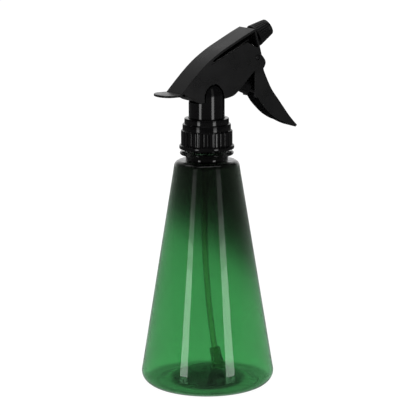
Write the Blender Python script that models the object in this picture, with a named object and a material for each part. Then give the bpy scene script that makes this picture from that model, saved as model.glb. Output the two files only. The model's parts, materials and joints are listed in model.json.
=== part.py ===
"""Hand mister: a trigger sprayer screwed onto a conical bottle, each physical piece its own object.

All sizes are in millimetres and are turned into metres as the meshes are made. Positions are written in
the bottle's frame: the bottle's axis is the Z axis, the bottle stands on z = 0 and the nozzle points to +X.
One empty, mister_frame, carries that frame, so that the world origin is under the middle of the whole object.
"""

import math

import bmesh
import bpy
from mathutils import Matrix, Vector

MM = 0.001

# Where the bottle's axis stands, so that the object's outline is centred on the world origin.
BOTTLE_AXIS_X = -11.3

# Bottle
CONE_BASE_R = 44.5
CONE_BASE_Z = 8.0
CONE_TOP_R = 21.6
CONE_TOP_Z = 149.0
SHOULDER_Z = 152.0
SHOULDER_CORNER_R = 4.2
STANDING_RING_R = 35.4
STANDING_RING_WIDTH = 3.0
PUSH_UP_FOOT_R = 26.0
PUSH_UP_TOP_R = 10.5
PUSH_UP_TOP_Z = 8.7
BOTTLE_WALL = 0.8
NECK_BELOW_BEAD_R = 14.0
NECK_R = 12.7
NECK_BORE_R = 10.9
NECK_TOP_Z = 174.0
BEAD_R = 17.8
BEAD_Z = 157.0
BEAD_HALF_THICKNESS = 1.1

# Closure
COLLAR_BOTTOM_Z = 159.9
COLLAR_FLANGE_R = 18.2
COLLAR_FLANGE_TOP_Z = 162.4
COLLAR_RIB_R = 17.05
COLLAR_RIB_TOP_Z = 172.2
COLLAR_BAND_R = 16.0
COLLAR_BAND_TOP_Z = 176.5
COLLAR_RING_R = 14.75
COLLAR_TOP_Z = 180.3
COLLAR_BORE_R = 14.25
COLLAR_HOLE_R = 12.25
COLLAR_RIBS = 28
COLLAR_GROOVE_DEPTH = 0.75
COLLAR_GROOVE_WIDTH = 1.0
GASKET_BOTTOM_Z = 174.3
GASKET_TOP_Z = 175.1

# Pump body
BODY_FLANGE_BOTTOM_Z = 175.4
BODY_FLANGE_TOP_Z = 176.6
BODY_FLANGE_R = 13.7
COLUMN_FOOT_R = 11.9
COLUMN_TOP_R = 11.3
COLUMN_SHOULDER_Z = 191.2
DOME_START_Z = 194.5
DOME_TOP_Z = 204.2
COLUMN_REAR_X = -8.6
RISER_R = 4.6
JUNCTION_Z = 213.0
HOLDER_BOTTOM_Z = 170.5
HOLDER_BORE_R = 5.0
HOLDER_BORE_TOP_Z = 188.1
INLET_BALL_R = 2.0
INLET_BALL_Z = 190.0
BALL_CHAMBER_R = 2.5
BALL_CHAMBER_TOP_Z = 194.5
FEED_BORE_R = 1.4
SIDE_BORE_R = 1.2

# Pump cylinder: its axis slopes down towards the front, and distances along it are counted from this point.
PUMP_POINT = (26.1, 0.0, 201.2)
PUMP_SLOPE_DEG = 24.0
CYLINDER_R = 5.5
CYLINDER_BORE_R = 4.5
CYLINDER_MOUTH = 5.9
CYLINDER_REAR = -17.5
PISTON_REAR = -5.5
PISTON_HEAD_FRONT = 3.0
PISTON_TIP = 16.0
PISTON_ROD_R = 2.6
PISTON_HEAD_R = 4.1
SEAL_GROOVE_R = 3.1
SEAL_R = 4.35
SEAL_FROM_END = 1.7
SPRING_BOSS_R = 2.5
RETURN_SPRING_R = 3.35
RETURN_WIRE_R = 0.4

# Nozzle: its axis rises towards the front, and distances along it are counted from the cap's rear face.
NOZZLE_POINT = (36.4, 0.0, 232.1)
NOZZLE_RISE_DEG = 27.5
CAP_REAR_R = 7.75
CAP_FRONT_R = 5.65
CAP_LENGTH = 12.2
CAP_KNURLS = 26
CAP_GROOVE_WIDTH = 0.55
CAP_GROOVE_FLOOR_R = 6.27
CAP_BORE_DEPTH = 9.4
SPRAY_HOLE_R = 0.4
BARREL_R = 4.7
BARREL_FRONT = 8.2
DELIVERY_R = 3.6
OUTLET_CHAMBER_R = 2.4
OUTLET_CHAMBER_REAR = -7.0
OUTLET_BALL_R = 1.7
OUTLET_BALL_X = OUTLET_CHAMBER_REAR + OUTLET_BALL_R + 0.2
OUTLET_SPRING_R = 1.5
OUTLET_WIRE_R = 0.25
SPINNER_REAR = 4.6
SPINNER_HEAD_R = 2.65

# Shroud
SHROUD_HALF_WIDTH = 10.0
SHROUD_WALL = 1.6
ROOF_WALL = 1.8
TAIL_END_X = -37.5
TAIL_TOP_Z = 198.3
TAIL_THICKNESS = 1.5

# Trigger
TRIGGER_PIVOT = (33.4, 0.0, 219.1)
TRIGGER_HALF_WIDTH = 7.8
TRIGGER_WALL = 1.3
TRIGGER_FRONT_WALL = 1.6
TRIGGER_STUB_R = 1.5
STUB_CLEARANCE = 0.2

# Dip tube and filter
TUBE_R = 2.1
TUBE_TOP_Z = 183.6
TUBE_ROUTE = (
    (0.0, 0.0, TUBE_TOP_Z),
    (0.0, 0.0, 168.0),
    (-0.5, 0.3, 148.0),
    (-1.1, 0.9, 126.0),
    (-1.3, 1.1, 104.0),
    (-1.1, 0.3, 84.0),
    (-0.4, -2.3, 57.5),
    (0.3, -5.5, 37.5),
    (1.0, -7.9, 24.6),
)
FILTER_TOP = (1.0, -7.75, 25.0)
FILTER_BOTTOM = (2.5, -10.6, 11.0)

GAP = 0.3


def material(name, colour, roughness, metallic=0.0, transmission=0.0):
    made = bpy.data.materials.new(name)
    made.use_nodes = True
    shader = made.node_tree.nodes["Principled BSDF"]
    shader.inputs["Base Color"].default_value = (*colour, 1.0)
    shader.inputs["Roughness"].default_value = roughness
    shader.inputs["Metallic"].default_value = metallic
    shader.inputs["Transmission Weight"].default_value = transmission
    made.diffuse_color = (*colour, 1.0)
    return made


def empty(name, location, parent=None, rotation_y_deg=0.0):
    made = bpy.data.objects.new(name, None)
    made.location = Vector(location) * MM
    made.rotation_euler = (0.0, math.radians(rotation_y_deg), 0.0)
    made.parent = parent
    bpy.context.collection.objects.link(made)
    return made


def add_object(name, mesh, parent, finish=None, origin=(0.0, 0.0, 0.0)):
    """Turn a bmesh in millimetres into an object whose origin is at the given point of its parent's frame."""
    bmesh.ops.remove_doubles(mesh, verts=mesh.verts, dist=1e-4)
    bmesh.ops.dissolve_degenerate(mesh, edges=mesh.edges, dist=1e-4)
    bmesh.ops.recalc_face_normals(mesh, faces=mesh.faces)
    data = bpy.data.meshes.new(name)
    mesh.to_mesh(data)
    mesh.free()
    data.transform(Matrix.Scale(MM, 4) @ Matrix.Translation(-Vector(origin)))
    data.shade_smooth()
    data.set_sharp_from_angle(angle=math.radians(32.0))
    made = bpy.data.objects.new(name, data)
    made.location = Vector(origin) * MM
    made.parent = parent
    if finish:
        data.materials.append(finish)
    bpy.context.collection.objects.link(made)
    return made


def hidden(tool):
    tool.hide_render = True
    tool.display_type = "WIRE"
    return tool


def combine(target, operation, *tools):
    """Cut or join each hidden tool with the target, by an exact Boolean that stays on the object."""
    for tool in tools:
        hidden(tool)
        step = target.modifiers.new(tool.name, "BOOLEAN")
        step.operation = operation
        step.solver = "EXACT"
        step.object = tool


def turned_mesh(outline, segments, axis="Z"):
    """A closed outline of (radius, distance along the axis) points, turned about the Z or the X axis."""
    mesh = bmesh.new()
    if axis == "Z":
        corners = [mesh.verts.new((radius, 0.0, along)) for radius, along in outline]
        direction = (0.0, 0.0, 1.0)
    else:
        corners = [mesh.verts.new((along, 0.0, radius)) for radius, along in outline]
        direction = (1.0, 0.0, 0.0)
    sides = [mesh.edges.new((a, b)) for a, b in zip(corners, corners[1:] + corners[:1])]
    bmesh.ops.spin(
        mesh,
        geom=corners + sides,
        cent=(0.0, 0.0, 0.0),
        axis=direction,
        angle=2.0 * math.pi,
        steps=segments,
        use_merge=True,
    )
    return mesh


def turned(name, outline, segments, parent, finish=None, axis="Z"):
    return add_object(name, turned_mesh(outline, segments, axis), parent, finish)


def rod(name, radius, start, end, parent, segments=24, axis="X"):
    """A plain round tool along an axis of its parent's frame."""
    return turned(name, ((0.0, start), (0.0, end), (radius, end), (radius, start)), segments, parent, None, axis)


def extruded_mesh(outline, half_width, plane="XZ"):
    """A closed outline in the XZ plane made 2 * half_width thick along Y, or one in XY made thick along Z."""
    mesh = bmesh.new()
    if plane == "XZ":
        corners = [mesh.verts.new((x, -half_width, z)) for x, z in outline]
        step = (0.0, 2.0 * half_width, 0.0)
    else:
        corners = [mesh.verts.new((x, y, -half_width)) for x, y in outline]
        step = (0.0, 0.0, 2.0 * half_width)
    face = mesh.faces.new(corners)
    made = bmesh.ops.extrude_face_region(mesh, geom=[face])
    moved = [v for v in made["geom"] if isinstance(v, bmesh.types.BMVert)]
    bmesh.ops.translate(mesh, verts=moved, vec=step)
    return mesh


def extruded(name, outline, half_width, parent, finish=None, origin=(0.0, 0.0, 0.0)):
    return add_object(name, extruded_mesh(outline, half_width), parent, finish, origin)


def arc(centre, radius_r, radius_z, from_deg, to_deg, steps):
    """Points of an elliptical arc about a centre in the (radius, height) plane."""
    points = []
    for i in range(steps + 1):
        angle = math.radians(from_deg + (to_deg - from_deg) * i / steps)
        points.append((centre[0] + radius_r * math.cos(angle), centre[1] + radius_z * math.sin(angle)))
    return points


def smooth_curve(points, steps):
    """A Catmull-Rom curve through the points, which may have any number of coordinates."""
    padded = [points[0], *points, points[-1]]
    result = []
    for a, b, c, d in zip(padded, padded[1:], padded[2:], padded[3:]):
        for i in range(steps):
            t = i / steps
            result.append(
                tuple(
                    0.5
                    * (
                        2.0 * q
                        + (r - p) * t
                        + (2.0 * p - 5.0 * q + 4.0 * r - s) * t * t
                        + (3.0 * q - p - 3.0 * r + s) * t**3
                    )
                    for p, q, r, s in zip(a, b, c, d)
                )
            )
    result.append(tuple(points[-1]))
    return result


def offset_path(points, distance):
    """The path moved sideways, to the left of its direction."""
    moved = []
    for i, point in enumerate(points):
        before = Vector(points[max(i - 1, 0)])
        after = Vector(points[min(i + 1, len(points) - 1)])
        along = (after - before).normalized()
        moved.append((point[0] - along.y * distance, point[1] + along.x * distance))
    return moved


def cone_radius(z):
    slope = (CONE_TOP_R - CONE_BASE_R) / (CONE_TOP_Z - CONE_BASE_Z)
    return CONE_BASE_R + slope * (z - CONE_BASE_Z)


def bottle_outline():
    """The bottle's wall: down its outside, across its raised bottom, and back up its inside."""
    corner = SHOULDER_CORNER_R
    corner_centre = (cone_radius(SHOULDER_Z - corner) - corner, SHOULDER_Z - corner)
    heel_centre = (STANDING_RING_R, CONE_BASE_Z)
    heel_width = cone_radius(CONE_BASE_Z) - STANDING_RING_R
    ring_inner_r = STANDING_RING_R - STANDING_RING_WIDTH
    wall = BOTTLE_WALL
    outside = [
        (NECK_R, NECK_TOP_Z),
        (NECK_R, BEAD_Z + BEAD_HALF_THICKNESS),
        *arc((BEAD_R - BEAD_HALF_THICKNESS, BEAD_Z), BEAD_HALF_THICKNESS, BEAD_HALF_THICKNESS, 90.0, -90.0, 4),
        (NECK_BELOW_BEAD_R, BEAD_Z - BEAD_HALF_THICKNESS),
        (NECK_BELOW_BEAD_R, SHOULDER_Z + 0.9),
        (NECK_BELOW_BEAD_R + 0.9, SHOULDER_Z + 0.1),
        *arc(corner_centre, corner, corner, 90.0, 8.0, 4),
        *arc(heel_centre, heel_width, CONE_BASE_Z, 0.0, -90.0, 6),
        (ring_inner_r, 0.0),
        (ring_inner_r - 2.4, 0.8),
        (PUSH_UP_FOOT_R, 2.8),
        (18.0, 6.0),
        (PUSH_UP_TOP_R + 0.8, PUSH_UP_TOP_Z - 0.3),
        (PUSH_UP_TOP_R - 1.5, PUSH_UP_TOP_Z),
        (0.0, PUSH_UP_TOP_Z),
    ]
    inside = [
        (0.0, PUSH_UP_TOP_Z + wall),
        (PUSH_UP_TOP_R - 1.0, PUSH_UP_TOP_Z + wall),
        (PUSH_UP_TOP_R + 1.1, PUSH_UP_TOP_Z - 0.3 + wall),
        (18.3, 6.0 + wall),
        (PUSH_UP_FOOT_R + 0.3, 2.8 + wall),
        (ring_inner_r - 2.1, 0.9 + wall),
        (STANDING_RING_R, wall + 0.1),
        *arc(heel_centre, heel_width - wall, CONE_BASE_Z - wall, -65.0, 0.0, 4),
        *arc(corner_centre, corner - wall, corner - wall, 8.0, 90.0, 3),
        (NECK_BELOW_BEAD_R - wall, SHOULDER_Z - wall),
        (NECK_BORE_R + 0.6, SHOULDER_Z + 1.2),
        (NECK_BORE_R, BEAD_Z),
        (NECK_BORE_R, NECK_TOP_Z),
    ]
    return outside + inside


def make_bottle(frame, finish):
    return turned("bottle", bottle_outline(), 40, frame, finish)


def make_gasket(frame, finish):
    outline = (
        (NECK_BORE_R, GASKET_BOTTOM_Z),
        (NECK_BORE_R, GASKET_TOP_Z),
        (BODY_FLANGE_R, GASKET_TOP_Z),
        (BODY_FLANGE_R, GASKET_BOTTOM_Z),
    )
    return turned("neck_gasket", outline, 32, frame, finish)


def groove_cutters(name, count, width, inner_r, outer_r, start, end, parent, axis="Z", taper=0.0):
    """Narrow boxes around an axis, which cut the grooves between grip ribs."""
    mesh = bmesh.new()
    for i in range(count):
        turn = 2.0 * math.pi * i / count
        box = bmesh.ops.create_cube(mesh, size=1.0)["verts"]
        size = Matrix.Diagonal((outer_r - inner_r, width, end - start, 1.0))
        lean = Matrix.Rotation(-taper, 4, "Y")
        shift = Matrix.Translation((0.5 * (inner_r + outer_r), 0.0, 0.5 * (start + end)))
        bmesh.ops.transform(mesh, matrix=Matrix.Rotation(turn, 4, "Z") @ shift @ lean @ size, verts=box)
    if axis == "X":
        bmesh.ops.transform(mesh, matrix=Matrix.Rotation(math.pi / 2.0, 4, "Y"), verts=mesh.verts)
    return add_object(name, mesh, parent)


def make_collar(frame, finish):
    outline = (
        (COLLAR_BORE_R, COLLAR_BOTTOM_Z),
        (COLLAR_BORE_R, BODY_FLANGE_TOP_Z + GAP),
        (COLLAR_HOLE_R, BODY_FLANGE_TOP_Z + GAP),
        (COLLAR_HOLE_R, COLLAR_TOP_Z),
        (COLLAR_RING_R - 0.4, COLLAR_TOP_Z),
        (COLLAR_RING_R, COLLAR_TOP_Z - 0.4),
        (COLLAR_RING_R, COLLAR_BAND_TOP_Z),
        (COLLAR_BAND_R - 0.4, COLLAR_BAND_TOP_Z),
        (COLLAR_BAND_R, COLLAR_BAND_TOP_Z - 0.4),
        (COLLAR_BAND_R, COLLAR_RIB_TOP_Z),
        (COLLAR_RIB_R, COLLAR_RIB_TOP_Z - 0.4),
        (COLLAR_RIB_R, COLLAR_FLANGE_TOP_Z),
        (COLLAR_FLANGE_R, COLLAR_FLANGE_TOP_Z - 0.5),
        (COLLAR_FLANGE_R, COLLAR_BOTTOM_Z + 0.5),
        (COLLAR_FLANGE_R - 0.5, COLLAR_BOTTOM_Z),
    )
    collar = turned("collar", outline, 48, frame, finish)
    grooves = groove_cutters(
        "collar_grooves",
        COLLAR_RIBS,
        COLLAR_GROOVE_WIDTH,
        COLLAR_RIB_R - COLLAR_GROOVE_DEPTH,
        COLLAR_RIB_R + 1.0,
        COLLAR_FLANGE_TOP_Z + 0.15,
        COLLAR_RIB_TOP_Z + 1.0,
        frame,
    )
    combine(collar, "DIFFERENCE", grooves)
    return collar


def column_outline(grow=0.0, low=BODY_FLANGE_BOTTOM_Z):
    """The upright column with its domed top, or the same shape made bigger all over as a clearance tool."""
    dome = arc((0.0, DOME_START_Z), COLUMN_TOP_R + grow, DOME_TOP_Z - DOME_START_Z + grow, 0.0, 90.0, 7)
    return [(0.0, low), (COLUMN_FOOT_R + grow, low), (COLUMN_FOOT_R + grow, BODY_FLANGE_TOP_Z + 2.0), *dome]


def make_pump_body(head, pump, nozzle, finish):
    body = turned("pump_body", column_outline(), 36, head, finish)
    rear_room = (
        (COLUMN_REAR_X, COLUMN_SHOULDER_Z),
        (COLUMN_REAR_X, DOME_TOP_Z + 3.0),
        (-COLUMN_FOOT_R - 3.0, DOME_TOP_Z + 3.0),
        (-COLUMN_FOOT_R - 3.0, COLUMN_SHOULDER_Z),
    )
    combine(body, "DIFFERENCE", extruded("rear_room", rear_room, 14.0, head))
    flange = turned(
        "body_flange",
        (
            (0.0, BODY_FLANGE_BOTTOM_Z - 0.01),
            (0.0, BODY_FLANGE_TOP_Z),
            (BODY_FLANGE_R, BODY_FLANGE_TOP_Z),
            (BODY_FLANGE_R, BODY_FLANGE_BOTTOM_Z - 0.01),
        ),
        36,
        head,
    )
    to_junction = -PUMP_POINT[0] / math.cos(math.radians(PUMP_SLOPE_DEG))
    nozzle_to_junction = -NOZZLE_POINT[0] / math.cos(math.radians(NOZZLE_RISE_DEG))
    riser_top = turned(
        "riser",
        [(0.0, DOME_START_Z), (RISER_R, DOME_START_Z), *arc((0.0, JUNCTION_Z), RISER_R, RISER_R, 0.0, 90.0, 5)],
        24,
        head,
    )
    combine(
        body,
        "UNION",
        flange,
        riser_top,
        rod("cylinder_outside", CYLINDER_R, to_junction + 0.4, CYLINDER_MOUTH, pump, 32),
        rod("delivery_outside", DELIVERY_R, nozzle_to_junction + 0.2, 0.0, nozzle, 20),
        rod("barrel_outside", BARREL_R, -4.0, BARREL_FRONT, nozzle, 28),
    )
    combine(
        body,
        "DIFFERENCE",
        rod("holder_bore", HOLDER_BORE_R, BODY_FLANGE_BOTTOM_Z - 1.0, HOLDER_BORE_TOP_Z, head, 24, "Z"),
        rod("ball_chamber", BALL_CHAMBER_R, HOLDER_BORE_TOP_Z - 0.1, BALL_CHAMBER_TOP_Z, head, 16, "Z"),
        rod("feed_bore", FEED_BORE_R, BALL_CHAMBER_TOP_Z - 0.5, JUNCTION_Z, head, 12, "Z"),
        rod("cylinder_bore", CYLINDER_BORE_R, CYLINDER_REAR, CYLINDER_MOUTH + 1.0, pump, 32),
        rod("cylinder_feed", SIDE_BORE_R, to_junction, CYLINDER_REAR + 1.0, pump, 12),
        rod("delivery_bore", SIDE_BORE_R, nozzle_to_junction, OUTLET_CHAMBER_REAR + 1.0, nozzle, 12),
        rod("outlet_chamber", OUTLET_CHAMBER_R, OUTLET_CHAMBER_REAR, BARREL_FRONT + 1.0, nozzle, 20),
    )
    return body


def make_tube_holder(head, finish):
    """The insert in the column's foot that grips the dip tube and forms the inlet ball's seat."""
    top = HOLDER_BORE_TOP_Z - GAP
    socket_r = TUBE_R + 0.25
    outer_r = HOLDER_BORE_R - GAP
    outline = (
        (socket_r, HOLDER_BOTTOM_Z),
        (socket_r, TUBE_TOP_Z + 0.4),
        (SIDE_BORE_R, TUBE_TOP_Z + 0.4),
        (SIDE_BORE_R, top - 0.8),
        (INLET_BALL_R, top),
        (outer_r, top),
        (outer_r, HOLDER_BOTTOM_Z + 0.8),
        (outer_r - 0.8, HOLDER_BOTTOM_Z),
    )
    return turned("tube_holder", outline, 24, head, finish)


def ball_mesh(radius):
    mesh = bmesh.new()
    bmesh.ops.create_uvsphere(mesh, u_segments=12, v_segments=8, radius=radius)
    return mesh


def make_inlet_ball(head, finish):
    seat = empty("inlet_seat", (0.0, 0.0, INLET_BALL_Z), head)
    return add_object("inlet_ball", ball_mesh(INLET_BALL_R), seat, finish)


def make_outlet_ball(nozzle, finish):
    seat = empty("outlet_seat", (OUTLET_BALL_X, 0.0, 0.0), nozzle)
    return add_object("outlet_ball", ball_mesh(OUTLET_BALL_R), seat, finish)


def make_piston(pump, finish):
    """Head with two seal grooves, rod, and a round tip that bears on the trigger."""
    outline = [
        (0.0, PISTON_REAR - 2.0),
        (SPRING_BOSS_R, PISTON_REAR - 2.0),
        (SPRING_BOSS_R, PISTON_REAR),
        (PISTON_HEAD_R, PISTON_REAR),
        (PISTON_HEAD_R, PISTON_REAR + 1.0),
        (SEAL_GROOVE_R, PISTON_REAR + 1.0),
        (SEAL_GROOVE_R, PISTON_REAR + 2.4),
        (PISTON_HEAD_R, PISTON_REAR + 2.4),
        (PISTON_HEAD_R, PISTON_HEAD_FRONT - 2.4),
        (SEAL_GROOVE_R, PISTON_HEAD_FRONT - 2.4),
        (SEAL_GROOVE_R, PISTON_HEAD_FRONT - 1.0),
        (PISTON_HEAD_R, PISTON_HEAD_FRONT - 1.0),
        (PISTON_HEAD_R, PISTON_HEAD_FRONT),
        (PISTON_ROD_R, PISTON_HEAD_FRONT),
        *arc((0.0, PISTON_TIP - PISTON_ROD_R), PISTON_ROD_R, PISTON_ROD_R, 0.0, 90.0, 5),
    ]
    return turned("piston", outline, 24, pump, finish, "X")


def make_piston_seal(name, middle, pump, finish):
    outline = (
        (SEAL_GROOVE_R + 0.2, middle - 0.5),
        (SEAL_R - 0.2, middle - 0.5),
        (SEAL_R, middle),
        (SEAL_R - 0.2, middle + 0.5),
        (SEAL_GROOVE_R + 0.2, middle + 0.5),
    )
    return turned(name, outline, 24, pump, finish, "X")


def make_spring(name, mean_r, wire_r, start, end, turns, per_turn, sides, parent, finish):
    """A helix of round wire along its parent's X axis, with flat ends."""
    mesh = bmesh.new()
    steps = int(turns * per_turn)
    rings = []
    for i in range(steps + 1):
        turn = 2.0 * math.pi * i / per_turn
        along = start + wire_r + (end - start - 2.0 * wire_r) * i / steps
        outward = Vector((0.0, math.cos(turn), math.sin(turn)))
        ring = []
        for j in range(sides):
            angle = 2.0 * math.pi * j / sides
            offset = outward * (wire_r * math.cos(angle)) + Vector((wire_r * math.sin(angle), 0.0, 0.0))
            ring.append(mesh.verts.new(outward * mean_r + Vector((along, 0.0, 0.0)) + offset))
        rings.append(ring)
    for ring, following in zip(rings, rings[1:]):
        for j in range(sides):
            k = (j + 1) % sides
            mesh.faces.new((ring[j], ring[k], following[k], following[j]))
    mesh.faces.new(rings[0])
    mesh.faces.new(rings[-1][::-1])
    return add_object(name, mesh, parent, finish)


def make_return_spring(pump, finish):
    start = CYLINDER_REAR + GAP
    end = PISTON_REAR - GAP
    return make_spring("return_spring", RETURN_SPRING_R, RETURN_WIRE_R, start, end, 4.5, 12, 5, pump, finish)


def make_outlet_spring(nozzle, finish):
    start = OUTLET_BALL_X + OUTLET_BALL_R + GAP
    end = SPINNER_REAR - GAP
    return make_spring("outlet_spring", OUTLET_SPRING_R, OUTLET_WIRE_R, start, end, 5.0, 8, 4, nozzle, finish)


def make_nozzle_cap(nozzle, finish):
    """The knurled cap: a cup whose front wall has the spray hole, with a smooth band round its rim."""
    band_start = CAP_LENGTH - 2.0
    slope = (CAP_FRONT_R - CAP_REAR_R) / CAP_LENGTH
    wall_inside = CAP_LENGTH - 1.6
    dish = CAP_LENGTH - 0.7
    outline = (
        (SPRAY_HOLE_R, wall_inside),
        (SPRAY_HOLE_R, dish),
        (3.4, dish),
        (3.9, CAP_LENGTH),
        (CAP_FRONT_R - 0.5, CAP_LENGTH),
        (CAP_FRONT_R, CAP_LENGTH - 0.5),
        (CAP_FRONT_R + 0.05 - slope * 1.5, band_start),
        (CAP_REAR_R + slope * band_start - 0.1, band_start - 0.3),
        (CAP_REAR_R + slope * 0.5, 0.5),
        (CAP_REAR_R - 0.4, 0.0),
        (BARREL_R + GAP, 0.0),
        (BARREL_R + GAP, CAP_BORE_DEPTH),
        (SPINNER_HEAD_R + GAP, CAP_BORE_DEPTH),
        (SPINNER_HEAD_R + GAP, wall_inside),
    )
    cap = turned("nozzle_cap", outline, 39, nozzle, finish, "X")
    grooves = groove_cutters(
        "cap_grooves",
        CAP_KNURLS,
        CAP_GROOVE_WIDTH,
        CAP_GROOVE_FLOOR_R,
        CAP_REAR_R + 1.25,
        0.9,
        band_start - 0.5,
        nozzle,
        "X",
        math.atan(-slope),
    )
    combine(cap, "DIFFERENCE", grooves)
    return cap


def make_nozzle_seal(nozzle, finish):
    """The washer between the barrel's end and the cap."""
    rear = BARREL_FRONT + GAP
    front = CAP_BORE_DEPTH - GAP
    inner_r = 3.1
    outer_r = BARREL_R - 0.2
    outline = ((inner_r, rear), (outer_r, rear), (outer_r, front), (inner_r, front))
    return turned("nozzle_seal", outline, 24, nozzle, finish, "X")


def make_spinner(nozzle, finish):
    """The swirl insert: a post in the outlet chamber with a slotted head behind the spray hole."""
    post_r = OUTLET_CHAMBER_R - GAP
    shoulder = 8.6
    face = 10.0
    tip = 10.3
    outline = (
        (0.0, SPINNER_REAR),
        (post_r, SPINNER_REAR),
        (post_r, shoulder),
        (SPINNER_HEAD_R, shoulder),
        (SPINNER_HEAD_R, face),
        (1.2, tip),
        (0.0, tip),
    )
    spinner = turned("spinner", outline, 20, nozzle, finish, "X")
    for number, turn in enumerate((0.0, math.pi / 2.0)):
        slot = bmesh.new()
        bmesh.ops.create_cube(slot, size=1.0)
        size = Matrix.Diagonal((0.6, 7.0, 0.6, 1.0))
        place = Matrix.Translation((face + 0.1 + 0.05 * number, 0.0, 0.0))
        bmesh.ops.transform(slot, matrix=place @ Matrix.Rotation(turn, 4, "X") @ size, verts=slot.verts)
        combine(spinner, "DIFFERENCE", add_object(f"spinner_slot_{number + 1}", slot, nozzle))
    return spinner


def roof_line():
    """The shroud's top in side view, from the tail's root to the front lip."""
    corners = (
        (-24.4, 198.5),
        (-17.8, 205.6),
        (-10.9, 212.5),
        (-3.9, 218.5),
        (3.1, 223.3),
        (7.8, 226.1),
        (15.9, 230.3),
        (23.5, 234.2),
        (31.3, 237.9),
    )
    return smooth_curve(corners, 2)


def shroud_outline():
    lower_edge = (
        (32.3, 236.4),
        (35.0, 226.5),
        (36.7, 219.6),
        (38.1, 217.4),
        (17.3, 196.4),
        (14.8, 194.8),
        (12.0, 194.0),
        (7.9, 193.3),
        (-6.9, 191.5),
        (-11.3, 191.8),
        (-15.0, 193.5),
        (-18.0, 196.0),
        (-22.0, 196.8),
        (-24.4, 196.8),
    )
    return [*roof_line(), *lower_edge]


def make_shroud(head, nozzle, finish):
    shroud = extruded("shroud", shroud_outline(), SHROUD_HALF_WIDTH, head, finish)
    ceiling = offset_path(roof_line()[2:-1], -ROOF_WALL)
    cavity = [
        *ceiling,
        (30.6, 235.2),
        (33.4, 225.5),
        (42.0, 222.0),
        (42.0, 186.0),
        (-9.1, 186.0),
        (-9.1, 193.6),
        (-11.5, 193.9),
        (-15.2, 196.9),
        (-18.8, 199.4),
    ]
    slot_ceiling = offset_path(roof_line()[6:-1], -ROOF_WALL + 0.2)
    slot = [
        (-1.9, 216.7),
        *slot_ceiling,
        (31.1, 235.9),
        (33.8, 226.2),
        (33.7, 225.3),
        (25.5, 229.5),
    ]
    arch = [
        (7.7, 188.0),
        (7.4, 195.0),
        (6.35, 198.6),
        (4.3, 201.3),
        (2.4, 202.9),
        (0.6, 203.2),
        (-1.3, 202.0),
        (-4.0, 198.6),
        (-6.1, 194.3),
        (-6.9, 190.5),
        (-6.9, 188.0),
    ]
    tail_plan = [
        (-22.0, -SHROUD_HALF_WIDTH),
        (-22.0, SHROUD_HALF_WIDTH),
        *arc((-31.0, 0.0), 0.0 - TAIL_END_X - 31.0, SHROUD_HALF_WIDTH, 90.0, 270.0, 12),
    ]
    tail = extruded_mesh(tail_plan, 0.5 * TAIL_THICKNESS, "XY")
    bmesh.ops.translate(tail, verts=tail.verts, vec=(0.0, 0.0, TAIL_TOP_Z - 0.5 * TAIL_THICKNESS))
    stub_hole_r = TRIGGER_STUB_R + STUB_CLEARANCE
    stub_holes = arc((TRIGGER_PIVOT[0], TRIGGER_PIVOT[2]), stub_hole_r, stub_hole_r, 0.0, 337.5, 15)
    combine(shroud, "DIFFERENCE", extruded("shroud_cavity", cavity, SHROUD_HALF_WIDTH - SHROUD_WALL, head))
    combine(shroud, "UNION", add_object("tail_plate", tail, head))
    combine(
        shroud,
        "DIFFERENCE",
        extruded("shroud_slot", slot, 12.0, head),
        extruded("shroud_arch", arch, 13.0, head),
        extruded("stub_holes", stub_holes, 12.0, head),
        turned("column_room", column_outline(GAP, 185.0), 36, head),
        rod("barrel_room", BARREL_R + GAP, -12.0, 4.0, nozzle),
    )
    return shroud


def trigger_front():
    """The trigger's front face in side view, from above the pivot down to the tip."""
    hook = [(36.6, 221.2), (38.6, 219.4), (40.4, 216.9), (40.9, 214.7), (40.3, 212.7), (39.2, 211.0)]
    blade = [(39.2, 211.0), (40.5, 207.5), (45.4, 197.4), (51.5, 189.0), (59.8, 177.9), (66.0, 171.0)]
    return hook[:-1] + smooth_curve(blade, 2)


def make_trigger(head, pump, finish):
    back = [
        (64.7, 169.8),
        (60.4, 171.6),
        (56.7, 173.5),
        (52.7, 175.0),
        (46.9, 178.9),
        (41.9, 183.6),
        (38.3, 187.6),
        (35.8, 191.4),
        (32.4, 192.2),
        (32.4, 208.7),
        (31.4, 217.0),
        (31.8, 220.6),
        (33.4, 221.6),
    ]
    trigger = extruded("trigger", trigger_front() + back, TRIGGER_HALF_WIDTH, head, finish, TRIGGER_PIVOT)
    inner_front = offset_path(trigger_front()[:-1], -TRIGGER_FRONT_WALL)
    channel = [*inner_front, (58.0, 168.0), (20.0, 168.0), (20.0, 223.0), (34.0, 223.0)]
    combine(
        trigger,
        "DIFFERENCE",
        extruded("trigger_channel", channel, TRIGGER_HALF_WIDTH - TRIGGER_WALL, head),
    )
    rib = [
        (PISTON_TIP + 0.8, -3.4),
        (PISTON_TIP + 0.8, 3.2),
        (PISTON_TIP + 2.8, 4.2),
        (PISTON_TIP + 9.2, 0.0),
        (PISTON_TIP + 12.5, -2.2),
    ]
    pad = [
        (PISTON_TIP + GAP, -3.6),
        (PISTON_TIP + GAP, 3.6),
        (PISTON_TIP + 1.8, 3.6),
        (PISTON_TIP + 1.8, -3.6),
    ]
    combine(
        trigger,
        "UNION",
        extruded("push_rib", rib, 0.9, pump),
        extruded("push_pad", pad, 3.2, pump),
    )
    for side in (-1.0, 1.0):
        ends = sorted((side * (TRIGGER_HALF_WIDTH - 0.6), side * (SHROUD_HALF_WIDTH - 0.05)))
        name = "pivot_stub_right" if side < 0.0 else "pivot_stub_left"
        tool = rod(name, TRIGGER_STUB_R, *ends, head, 16, "Z")
        tool.data.transform(Matrix.Rotation(-math.pi / 2.0, 4, "X"))
        tool.location = Vector(TRIGGER_PIVOT) * MM
        combine(trigger, "UNION", tool)
    return trigger


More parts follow.
